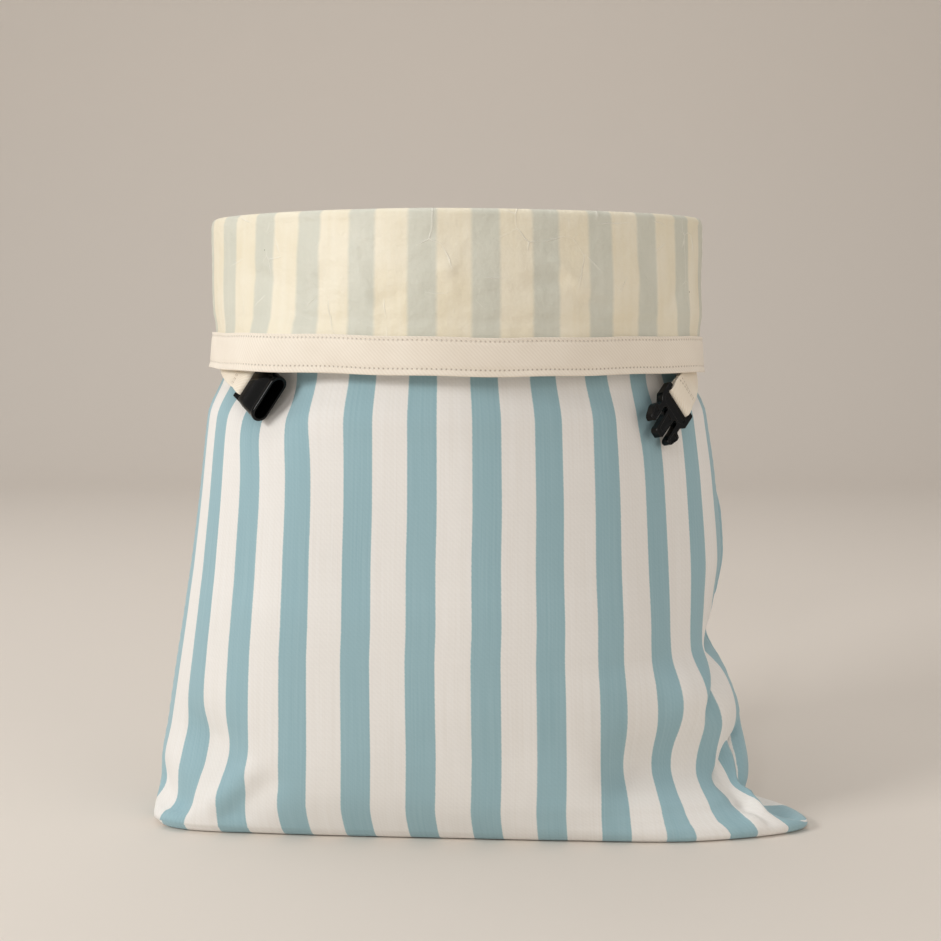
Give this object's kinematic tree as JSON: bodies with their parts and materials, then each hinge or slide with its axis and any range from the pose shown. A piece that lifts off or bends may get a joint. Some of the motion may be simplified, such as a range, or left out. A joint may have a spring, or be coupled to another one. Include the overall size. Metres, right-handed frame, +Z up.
{
  "type": "bread bag",
  "caption": "Standing striped cloth bread bag with an open mouth, a turned-down coated cuff edged by a band, and the two halves of a buckle on short straps.",
  "frame": {"origin": "on the floor, under the middle of the bag's outer box", "axes": "+X to the right along the bag's width, -Y out of the front panel, +Z up through the mouth"},
  "size_m": [0.3853, 0.2205, 0.357],
  "materials": {
    "striped_cloth": "matte striped cotton and linen cloth, coated cream on the inner side",
    "band_twill": "fine cream cotton twill tape",
    "strap_webbing": "cream cotton webbing",
    "buckle_plastic": "glossy black moulded plastic"
  },
  "bodies": {
    "root": {"front_panel": "striped_cloth", "back_panel": "striped_cloth", "mouth_band": "band_twill", "left_strap": "strap_webbing", "right_strap": "strap_webbing", "buckle_socket": "buckle_plastic", "buckle_plug": "buckle_plastic"}
  },
  "joints": []
}
